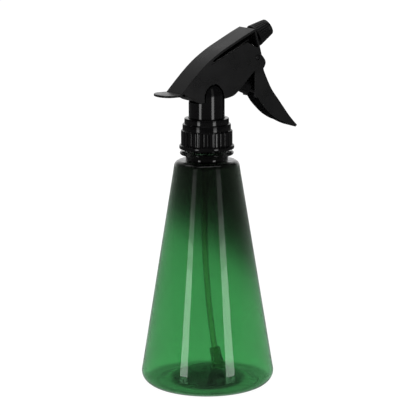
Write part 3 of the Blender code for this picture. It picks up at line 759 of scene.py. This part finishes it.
def make_shroud(finish):
    line_points = roof_line()
    ceiling = offset_path(line_points[6:-1], -ROOF_WALL)
    cavity = [
        *ceiling,
        (30.6, 235.2),
        (33.4, 225.5),
        (42.0, 222.0),
        (42.0, 186.0),
        (-9.1, 186.0),
        (-9.1, 193.6),
        (-11.5, 193.9),
        (-15.2, 196.9),
        (-18.8, 199.4),
    ]
    slot_ceiling = offset_path(line_points[17:-1], -ROOF_WALL + 0.2)
    slot = [(-1.9, 216.7), *slot_ceiling, (31.1, 235.9), (33.8, 226.2), (33.7, 225.3), (25.5, 229.5)]
    arch = [
        (7.7, 186.0),
        *smooth_curve(
            (
                (7.4, 195.0),
                (6.35, 198.6),
                (4.3, 201.3),
                (2.4, 202.9),
                (0.6, 203.2),
                (-1.3, 202.0),
                (-4.0, 198.6),
                (-6.1, 194.3),
                (-6.9, 190.5),
            ),
            4,
        ),
        (-6.9, 186.0),
    ]
    tail_end = arc((-31.0, 0.0), 6.5, HALF_WIDTH, 90.0, 270.0, 32)
    tail_plan = [(-22.0, -HALF_WIDTH), (-22.0, HALF_WIDTH), *tail_end]
    tail = slab(tail_plan, 0.75, "XY", Matrix.Translation((0.0, 0.0, 197.55)))
    stub_holes = arc((PIVOT.x, PIVOT.z), 1.7, 1.7, 0.0, 348.75, 31)
    steps = [
        ("DIFFERENCE", slab(cavity, HALF_WIDTH - SHROUD_WALL)),
        ("UNION", tail),
        ("DIFFERENCE", slab(slot, 12.0)),
        ("DIFFERENCE", slab(arch, 13.0)),
        ("DIFFERENCE", slab(stub_holes, 12.0)),
        ("DIFFERENCE", lathe(column_outline(0.3, 185.0), 72)),
        ("DIFFERENCE", rod(5.0, -12.0, 4.0, NOZZLE)),
    ]
    mesh = carved(slab(shroud_outline(), HALF_WIDTH), steps, 0.3, 28.0, 3)
    add_piece("head_shroud", mesh, "head", finish, ("shroud",), 50.0, True)


def trigger_front(steps=5):
    hook = [(36.6, 221.2), (38.6, 219.4), (40.4, 216.9), (40.9, 214.7), (40.3, 212.7), (39.2, 211.0)]
    blade = [(39.2, 211.0), (40.5, 207.5), (45.4, 197.4), (51.5, 189.0), (59.8, 177.9), (66.0, 171.0)]
    return smooth_curve(hook, steps)[:-1] + smooth_curve(blade, steps)


def make_trigger(finish):
    curve = [(64.7, 169.8), (60.4, 171.6), (56.7, 173.5), (52.7, 175.2), (46.9, 178.9), (41.9, 183.6),
             (38.3, 187.6), (35.8, 191.4)]
    top = [(32.4, 192.2), (32.4, 208.7), (31.4, 217.0), (31.8, 220.6), (33.4, 221.6)]
    front = trigger_front()
    inner_front = offset_path(front[:-1], -1.6)
    channel = [*inner_front, (58.0, 168.0), (20.0, 168.0), (20.0, 223.0), (34.0, 223.0)]
    tip = 16.0
    rib = [(tip + 0.8, -3.4), (tip + 0.8, 3.2), (tip + 2.8, 4.2), (tip + 9.2, 0.0), (tip + 12.5, -2.2)]
    pad = [(tip + 0.3, -3.6), (tip + 0.3, 3.6), (tip + 1.8, 3.6), (tip + 1.8, -3.6)]
    stub_place = Matrix.Translation(PIVOT) @ Matrix.Rotation(math.pi / 2.0, 4, "Z")
    steps = [
        ("DIFFERENCE", slab(channel, 6.5)),
        ("UNION", slab(rib, 0.9, matrix=PUMP)),
        ("UNION", slab(pad, 3.2, matrix=PUMP)),
        ("UNION", rod(1.5, -9.95, -7.2, stub_place, 40)),
        ("UNION", rod(1.5, 7.2, 9.95, stub_place, 40)),
    ]
    mesh = carved(slab([*front, *smooth_curve(curve, 4), *top], 7.8), steps, 0.25, 28.0, 3)
    add_piece("trigger_lever", mesh, "trigger", finish, ("trigger",), 50.0, True)


# ---------------------------------------------------------------- nozzle cap

CAP_KNURLS = 26
CAP_LENGTH = 12.2
CAP_REAR_R = 7.75
CAP_FRONT_R = 5.65


def cap_shape(radius, along, angle):
    if 0.9 < along < 9.7 and radius > 5.4:
        return radius - 0.42 * (1.0 - rib_wave(angle, CAP_KNURLS, 0.34))
    return radius


def make_nozzle_cap(finish):
    slope = (CAP_FRONT_R - CAP_REAR_R) / CAP_LENGTH
    band = CAP_LENGTH - 2.0
    outline = [
        (0.4, CAP_LENGTH - 1.6),
        (0.4, CAP_LENGTH - 0.7),
        (3.3, CAP_LENGTH - 0.7),
        (3.6, CAP_LENGTH - 0.6),
        (3.85, CAP_LENGTH - 0.1),
        (4.0, CAP_LENGTH),
        *arc((CAP_FRONT_R - 0.55, CAP_LENGTH - 0.55), 0.55, 0.55, 90.0, 5.0, 5),
        (CAP_FRONT_R + 0.05 - slope * 1.5, band + 0.1),
        (CAP_FRONT_R - 0.1 - slope * 1.9, band - 0.15),
        (CAP_REAR_R + slope * band - 0.12, band - 0.35),
        *line((CAP_REAR_R + slope * 9.6, 9.6), (CAP_REAR_R + slope * 1.0, 1.0), 8),
        (CAP_REAR_R + slope * 0.8, 0.8),
        (CAP_REAR_R - 0.1, 0.3),
        (CAP_REAR_R - 0.4, 0.0),
        (5.2, 0.0),
        (5.0, 0.2),
        (5.0, 9.4),
        (2.95, 9.4),
        (2.95, CAP_LENGTH - 1.6),
    ]
    mesh = lathe(outline, CAP_KNURLS * 10, cap_shape, NOZZLE @ ALONG_X)
    add_piece("knurled_nozzle", mesh, "nozzle_cap", finish, ("nozzle_cap",))


# ---------------------------------------------------------------- pump parts and dip tube


def make_piston(finish):
    rear = -5.5
    front = 3.0
    tip = 16.0
    outline = [
        (0.0, rear - 2.0),
        (2.5, rear - 2.0),
        (2.5, rear),
        (4.1, rear),
        (4.1, rear + 1.0),
        (3.1, rear + 1.0),
        (3.1, rear + 2.4),
        (4.1, rear + 2.4),
        (4.1, front - 2.4),
        (3.1, front - 2.4),
        (3.1, front - 1.0),
        (4.1, front - 1.0),
        (4.1, front - 0.2),
        (3.9, front),
        (2.6, front),
        *arc((0.0, tip - 2.6), 2.6, 2.6, 0.0, 84.0, 10),
        (0.0, tip),
    ]
    mesh = lathe(outline, 48, matrix=PUMP @ ALONG_X)
    add_piece("pump_piston", mesh, "piston", finish, ("piston",))


def coil_spring(mean_r, wire_r, start, end, turns, place):
    """A helix of round wire along a frame's X axis, its end turns lying flat."""
    mesh = bmesh.new()
    per_turn = 28
    steps = int(turns * per_turn)
    rings = []
    for i in range(steps + 1):
        share = i / steps
        turn = 2.0 * math.pi * i / per_turn
        eased = share - math.sin(4.0 * math.pi * share) / (4.0 * math.pi) * 0.5
        along = start + wire_r + (end - start - 2.0 * wire_r) * eased
        outward = Vector((0.0, math.cos(turn), math.sin(turn)))
        ring = []
        for j in range(10):
            angle = 2.0 * math.pi * j / 10
            offset = outward * (wire_r * math.cos(angle)) + Vector((wire_r * math.sin(angle), 0.0, 0.0))
            ring.append(mesh.verts.new(outward * mean_r + Vector((along, 0.0, 0.0)) + offset))
        rings.append(ring)
    for ring, following in zip(rings, rings[1:]):
        for j in range(10):
            k = (j + 1) % 10
            mesh.faces.new((ring[j], ring[k], following[k], following[j]))
    mesh.faces.new(rings[0])
    mesh.faces.new(rings[-1])
    bmesh.ops.recalc_face_normals(mesh, faces=mesh.faces)
    bmesh.ops.transform(mesh, matrix=place, verts=mesh.verts)
    return mesh


def make_springs(finish):
    """Both coil springs, each with a mesh of its own; their joints' travel is read but not used."""
    piston_travel = JOINTS["piston_stroke"]["range_m"][1] / MM
    ball_travel = JOINTS["outlet_ball_lift"]["range_m"][1] / MM
    for name, size, place, start, end, turns, joint, travel, fixed in (
        ("return_coil", (3.35, 0.38), PUMP, -17.2, -5.8, 4.5, "piston_stroke", piston_travel, -17.2),
        ("outlet_coil", (1.5, 0.25), NOZZLE, -3.1, 4.3, 5.0, "outlet_ball_lift", ball_travel, 4.3),
    ):
        mesh = coil_spring(*size, start, end, turns, place)
        node = name.replace("coil", "spring")
        piece = add_piece(name, mesh, "head", finish, (node,), 60.0)
        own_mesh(piece)


TUBE_R = 2.1
TUBE_BORE_R = 1.4
TUBE_ROUTE = (
    (0.0, 0.0, 183.6),
    (0.0, 0.0, 168.0),
    (-0.5, 0.3, 148.0),
    (-1.1, 0.9, 126.0),
    (-1.3, 1.1, 104.0),
    (-1.1, 0.3, 84.0),
    (-0.4, -2.3, 57.5),
    (0.3, -5.5, 37.5),
    (1.0, -7.9, 24.6),
)
FILTER_TOP = Vector((1.0, -7.75, 25.0))
FILTER_BOTTOM = Vector((2.5, -10.6, 11.0))


def swept(route, ring_radii, segments):
    """A hollow round section carried along a route; the ring radii are the outside's and the bore's."""
    mesh = bmesh.new()
    points = [Vector(p) for p in route]
    walls = []
    side = Vector((1.0, 0.0, 0.0))
    for radius in ring_radii:
        rings = []
        for i, point in enumerate(points):
            along = (points[min(i + 1, len(points) - 1)] - points[max(i - 1, 0)]).normalized()
            first = (side - along * side.dot(along)).normalized()
            second = along.cross(first)
            ring = []
            for j in range(segments):
                angle = 2.0 * math.pi * j / segments
                offset = first * (radius * math.cos(angle)) + second * (radius * math.sin(angle))
                ring.append(mesh.verts.new(point + offset))
            rings.append(ring)
        walls.append(rings)
    for rings in walls:
        for ring, following in zip(rings, rings[1:]):
            for j in range(segments):
                k = (j + 1) % segments
                mesh.faces.new((ring[j], ring[k], following[k], following[j]))
    outer, inner = walls
    for end in (0, -1):
        for j in range(segments):
            k = (j + 1) % segments
            mesh.faces.new((outer[end][j], outer[end][k], inner[end][k], inner[end][j]))
    bmesh.ops.recalc_face_normals(mesh, faces=mesh.faces)
    return mesh


def make_dip_tube(finish):
    mesh = swept(smooth_curve(TUBE_ROUTE, 10), (TUBE_R, TUBE_BORE_R), 32)
    add_piece("dip_tube_hollow", mesh, "head", finish, ("dip_tube",), 60.0)


def filter_frame():
    up = (FILTER_TOP - FILTER_BOTTOM).normalized()
    place = up.to_track_quat("Z", "Y").to_matrix().to_4x4()
    place.translation = FILTER_BOTTOM
    return place


def filter_shape(radius, along, angle):
    if 3.2 < along < 12.0 and radius > 3.5:
        return radius - 0.22 * (1.0 - rib_wave(angle, 10, 0.3))
    return radius


def make_filter(plastic, wire):
    place = filter_frame()
    length = (FILTER_TOP - FILTER_BOTTOM).length
    outline = [
        (TUBE_R + 0.3, 9.0),
        (TUBE_R + 0.3, length),
        (3.4, length),
        (3.6, length - 0.2),
        (3.7, 9.0),
        *smooth_curve(((3.75, 8.0), (4.0, 5.8), (4.5, 3.6), (5.1, 2.1)), 4),
        (5.4, 1.7),
        (5.4, 0.2),
        (5.2, 0.0),
        (4.6, 0.0),
        (4.6, 1.5),
        (3.9, 3.0),
        (1.3, 7.0),
        (1.3, 9.0),
    ]
    add_piece("filter_foot", lathe(outline, 80, filter_shape, place), "head", plastic,
              ("filter_body",))
    add_piece("filter_mesh", woven_screen(4.25, 0.72, 0.13, 0.7, place), "head", wire,
              ("filter_screen",))


def woven_screen(radius, pitch, wire_r, height, place):
    """A round disc of woven wire: each wire goes over and under those that cross it."""
    mesh = bmesh.new()
    count = int(radius / pitch)
    for turned_over in (0, 1):
        for i in range(-count, count + 1):
            across = i * pitch
            half = math.sqrt(max(radius * radius - across * across, 0.0))
            if half < pitch:
                continue
            steps = max(6, int(2.0 * half / (0.25 * pitch)))
            rings = []
            for k in range(steps + 1):
                along = -half + 2.0 * half * k / steps
                wave = math.cos(math.pi * along / pitch + math.pi * (i + turned_over))
                centre = (along, across) if turned_over == 0 else (across, along)
                ring = []
                for j in range(5):
                    angle = 2.0 * math.pi * j / 5
                    side = wire_r * math.cos(angle)
                    up = height + 1.1 * wire_r * wave + wire_r * math.sin(angle)
                    x = centre[0] + (side if turned_over else 0.0)
                    y = centre[1] + (0.0 if turned_over else side)
                    ring.append(mesh.verts.new((x, y, up)))
                rings.append(ring)
            for ring, following in zip(rings, rings[1:]):
                for j in range(5):
                    m = (j + 1) % 5
                    mesh.faces.new((ring[j], ring[m], following[m], following[j]))
            mesh.faces.new(rings[0])
            mesh.faces.new(rings[-1])
    bmesh.ops.recalc_face_normals(mesh, faces=mesh.faces)
    bmesh.ops.transform(mesh, matrix=place, verts=mesh.verts)
    return mesh


# ---------------------------------------------------------------- studio


VIEW_AZIMUTH_DEG = -30.0
VIEW_DISTANCE = 1.2
VIEW_HEIGHT = 0.3692
VIEW_PITCH_DEG = 11.76
VIEW_LENS = 159.23
VIEW_ROLL_DEG = 0.2
DARK_SIDE = 0.03
DIFFUSE_LIGHT = 1.1
STRIP_DISTANCE = 0.9
LEFT_STRIP_DEG = -41.5
LEFT_STRIP_WIDTH = 0.21
LEFT_STRIP_RADIANCE = 3.6
RIGHT_STRIP_DEG = 39.5
RIGHT_STRIP_WIDTH = 0.24
RIGHT_STRIP_RADIANCE = 3.4
TOP_SOFTBOX_SIZE = 1.2
TOP_SOFTBOX_RADIANCE = 0.65

# Each strip light in bands, so that its reflection fades upwards: from, to (metres) and share of its radiance
STRIP_BANDS = (
    (0.0, 0.14, 1.0),
    (0.14, 0.17, 0.7),
    (0.17, 0.20, 0.35),
    (0.20, 0.24, 0.15),
    (0.24, 0.75, 0.08),
)

# Floor: its painted light and shade, seen through the bottle, counted in millimetres from the bottle's axis
FLOOR_GLOW = 1.06
FLOOR_LIT_SHARE = 0.93
FLOOR_IN_MIRRORS = 0.08
PAINTED_POOL_GLOW = 1.3
PAINTED_POOL_END_R = 320.0
PAINTED_HEEL_SHADOW = 0.45
PAINTED_PUSH_UP_SHADOW = 0.06
PAINTED_RING_SHADOW = 0.35


def sideways(azimuth_deg):
    """The horizontal direction from the object towards a viewer at this azimuth."""
    angle = math.radians(azimuth_deg)
    return Vector((math.sin(angle), -math.cos(angle), 0.0))


def make_camera():
    data = bpy.data.cameras.new("camera")
    data.lens = VIEW_LENS
    data.sensor_width = 36.0
    data.shift_x = 1.0 / 416.0
    camera = bpy.data.objects.new("camera", data)
    towards = sideways(VIEW_AZIMUTH_DEG)
    camera.location = AXIS * MM + towards * VIEW_DISTANCE + Vector((0.0, 0.0, VIEW_HEIGHT))
    pitch = math.radians(VIEW_PITCH_DEG)
    look = -towards * math.cos(pitch) - Vector((0.0, 0.0, math.sin(pitch)))
    turn = Matrix.Rotation(math.radians(VIEW_ROLL_DEG), 4, look)
    camera.rotation_mode = "QUATERNION"
    camera.rotation_quaternion = turn.to_quaternion() @ look.to_track_quat("-Z", "Y")
    bpy.context.scene.collection.objects.link(camera)
    bpy.context.scene.camera = camera


def make_softbox(name, azimuth_deg, distance, low, high, width, radiance):
    """A tall rectangular area light that faces the bottle's axis."""
    data = bpy.data.lights.new(name, "AREA")
    data.shape = "RECTANGLE"
    data.size = width
    data.size_y = high - low
    data.energy = radiance * math.pi * width * (high - low)
    light = bpy.data.objects.new(name, data)
    towards = sideways(azimuth_deg)
    light.location = AXIS * MM + towards * distance + Vector((0.0, 0.0, 0.5 * (low + high)))
    light.rotation_mode = "QUATERNION"
    light.rotation_quaternion = (-towards).to_track_quat("-Z", "Y")
    bpy.context.scene.collection.objects.link(light)
    return light


def make_world():
    """A studio that the camera sees as plain white; reflections see a darker side where the camera is."""
    world = bpy.data.worlds.new("studio")
    bpy.context.scene.world = world
    world.use_nodes = True
    tree = world.node_tree
    background = tree.nodes["Background"]
    background.inputs["Color"].default_value = (1.0, 1.0, 1.0, 1.0)
    coordinates = tree.nodes.new("ShaderNodeTexCoord")
    facing = tree.nodes.new("ShaderNodeVectorMath")
    facing.operation = "DOT_PRODUCT"
    facing.inputs[1].default_value = -sideways(VIEW_AZIMUTH_DEG)
    tree.links.new(coordinates.outputs["Generated"], facing.inputs[0])
    opened = tree.nodes.new("ShaderNodeMapRange")
    for key, value in (("From Min", 0.5), ("From Max", 1.0), ("To Min", 0.0), ("To Max", 1.0)):
        opened.inputs[key].default_value = value
    tree.links.new(facing.outputs["Value"], opened.inputs["Value"])
    shade = tree.nodes.new("ShaderNodeMath")
    shade.operation = "MULTIPLY_ADD"
    tree.links.new(opened.outputs["Result"], shade.inputs[0])
    tree.links.new(opened.outputs["Result"], shade.inputs[1])
    shade.inputs[2].default_value = DARK_SIDE
    path = tree.nodes.new("ShaderNodeLightPath")
    by_diffuse = tree.nodes.new("ShaderNodeMix")
    by_diffuse.inputs["B"].default_value = DIFFUSE_LIGHT
    tree.links.new(path.outputs["Is Diffuse Ray"], by_diffuse.inputs["Factor"])
    tree.links.new(shade.outputs["Value"], by_diffuse.inputs["A"])
    seen = tree.nodes.new("ShaderNodeMath")
    seen.operation = "MAXIMUM"
    tree.links.new(path.outputs["Is Camera Ray"], seen.inputs[0])
    tree.links.new(path.outputs["Is Transmission Ray"], seen.inputs[1])
    by_sight = tree.nodes.new("ShaderNodeMix")
    by_sight.inputs["B"].default_value = 1.0
    tree.links.new(seen.outputs["Value"], by_sight.inputs["Factor"])
    tree.links.new(by_diffuse.outputs["Result"], by_sight.inputs["A"])
    tree.links.new(by_sight.outputs["Result"], background.inputs["Strength"])


def white_floor():
    """A white floor: nearly free of shadow where it is seen, and dark in the object's reflections.

    Only rays through the bottle see a pattern on it, around the bottle's axis: a painted pool of light near
    the foot, and painted shadow at the heel, under the raised bottom and along the ring that the bottle
    stands on. This painted light and shade stands in for the light that reaches the floor through and around
    the bottle's base.
    """
    nodes = Nodes("white_floor")
    nodes.set(Base_Color=(0.85, 0.85, 0.85), Roughness=0.9, Specular_IOR_Level=0.0)
    split = nodes.node("ShaderNodeSeparateXYZ")
    nodes.link(nodes.place(), split.inputs["Vector"])
    away = distance_from_axis(nodes, nodes.math("SUBTRACT", split.outputs["X"], AXIS.x), split.outputs["Y"])
    # Painted pool of light on the floor around the foot, seen only through the bottle
    painted_foot_light = nodes.spread(away, CONE_BASE_R, PAINTED_POOL_END_R, PAINTED_POOL_GLOW, 1.0)
    # Painted shadow on the floor at the bottle's heel
    painted_heel_shade = nodes.spread(away, CONE_BASE_R - 3.0, CONE_BASE_R + 6.0, PAINTED_HEEL_SHADOW, 1.0, "SMOOTHSTEP")
    painted_foot_light = nodes.math("MULTIPLY", painted_foot_light, painted_heel_shade)
    # Painted shadow on the floor under the raised bottom
    under = nodes.spread(away, PUSH_UP_R - 5.0, PUSH_UP_R + 1.0, PAINTED_PUSH_UP_SHADOW, 1.0, "SMOOTHSTEP")
    # Painted shadow along the ring that the bottle stands on
    from_ring = nodes.math("ABSOLUTE", nodes.math("SUBTRACT", away, STANDING_RING_R - 1.5))
    ring = nodes.spread(from_ring, 0.4, 1.4, PAINTED_RING_SHADOW, 1.0, "SMOOTHSTEP")
    through = nodes.math("MULTIPLY", painted_foot_light, nodes.math("MULTIPLY", under, ring))
    path = nodes.node("ShaderNodeLightPath")
    seen_through = path.outputs["Is Transmission Ray"]
    strength = nodes.node("ShaderNodeMix")
    strength.inputs["A"].default_value = FLOOR_GLOW
    nodes.link(seen_through, strength.inputs["Factor"])
    nodes.link(through, strength.inputs["B"])
    glow = nodes.node("ShaderNodeEmission")
    nodes.link(strength.outputs["Result"], glow.inputs["Strength"])
    dark = nodes.node("ShaderNodeEmission")
    dark.inputs["Strength"].default_value = FLOOR_IN_MIRRORS
    lit = nodes.node("ShaderNodeMixShader")
    seen = nodes.math("MAXIMUM", path.outputs["Is Camera Ray"], seen_through)
    seen = nodes.math("MULTIPLY", seen, FLOOR_LIT_SHARE)
    nodes.link(seen, lit.inputs[0])
    nodes.link(nodes.shader.outputs["BSDF"], lit.inputs[1])
    nodes.link(glow.outputs["Emission"], lit.inputs[2])
    mirrored = nodes.node("ShaderNodeMixShader")
    not_through = nodes.math("SUBTRACT", 1.0, seen_through)
    nodes.link(nodes.math("MULTIPLY", path.outputs["Is Glossy Ray"], not_through), mirrored.inputs[0])
    nodes.link(lit.outputs["Shader"], mirrored.inputs[1])
    nodes.link(dark.outputs["Emission"], mirrored.inputs[2])
    nodes.link(mirrored.outputs["Shader"], nodes.output.inputs["Surface"])
    return nodes.material


def make_floor():
    mesh = bmesh.new()
    bmesh.ops.create_grid(mesh, x_segments=1, y_segments=1, size=4.0)
    data = bpy.data.meshes.new("studio_floor")
    mesh.to_mesh(data)
    mesh.free()
    data.materials.append(white_floor())
    floor = bpy.data.objects.new("studio_floor", data)
    floor.location = (0.0, 0.0, -0.0002)
    bpy.context.scene.collection.objects.link(floor)


def make_studio():
    make_camera()
    make_world()
    make_floor()
    bpy.context.scene.view_settings.view_transform = "Standard"
    for low, high, share in STRIP_BANDS:
        for name, turned, width, radiance in (
            ("left_strip", LEFT_STRIP_DEG, LEFT_STRIP_WIDTH, LEFT_STRIP_RADIANCE),
            ("right_strip", RIGHT_STRIP_DEG, RIGHT_STRIP_WIDTH, RIGHT_STRIP_RADIANCE),
        ):
            make_softbox(name, VIEW_AZIMUTH_DEG + turned, STRIP_DISTANCE, low, high, width, radiance * share)
    size = TOP_SOFTBOX_SIZE
    top = make_softbox("top_softbox", VIEW_AZIMUTH_DEG + 180.0, 0.0, 0.0, size, size, TOP_SOFTBOX_RADIANCE)
    top.location = (0.0, 0.3, 1.3)
    top.rotation_quaternion = Vector((0.0, -0.25, -1.0)).to_track_quat("-Z", "Y")


# ---------------------------------------------------------------- the whole


def give(finish, slot, *nodes):
    """Give CAD nodes that stay as they are a finer material."""
    for name in nodes:
        node = frame["nodes"][name]
        node.data.materials.clear()
        node.data.materials.append(finish)


def main():
    green = tinted_pet("green_pet")
    gloss = moulded_plastic("black_gloss_plastic", (0.0018, 0.0018, 0.002), 0.1, 0.05, 0.02)
    satin = moulded_plastic("black_satin_plastic", (0.0045, 0.0045, 0.0048), 0.3, 0.25, 0.05)
    natural = moulded_plastic("natural_plastic", (0.7, 0.71, 0.67), 0.4, 0.1, 0.05)
    tube = translucent_plastic("tube_plastic", (0.88, 0.92, 0.76), 0.12)
    foot = translucent_plastic("filter_plastic", (0.5, 0.6, 0.42), 0.2)
    steel = wire_steel("drawn_wire")
    black_rubber = rubber("seal_rubber")

    make_bottle(green)
    make_collar(gloss)
    make_pump_body(gloss)
    make_shroud(satin)
    make_trigger(satin)
    make_nozzle_cap(satin)
    make_piston(gloss)
    make_springs(steel)
    make_dip_tube(tube)
    make_filter(foot, steel)
    give(black_rubber, "seal_rubber", "neck_gasket", "piston_rear_seal", "piston_front_seal", "nozzle_seal")
    give(natural, "natural_plastic", "tube_holder", "spinner")
    give(steel, "ball_steel", "inlet_ball", "outlet_ball")
    make_studio()


main()
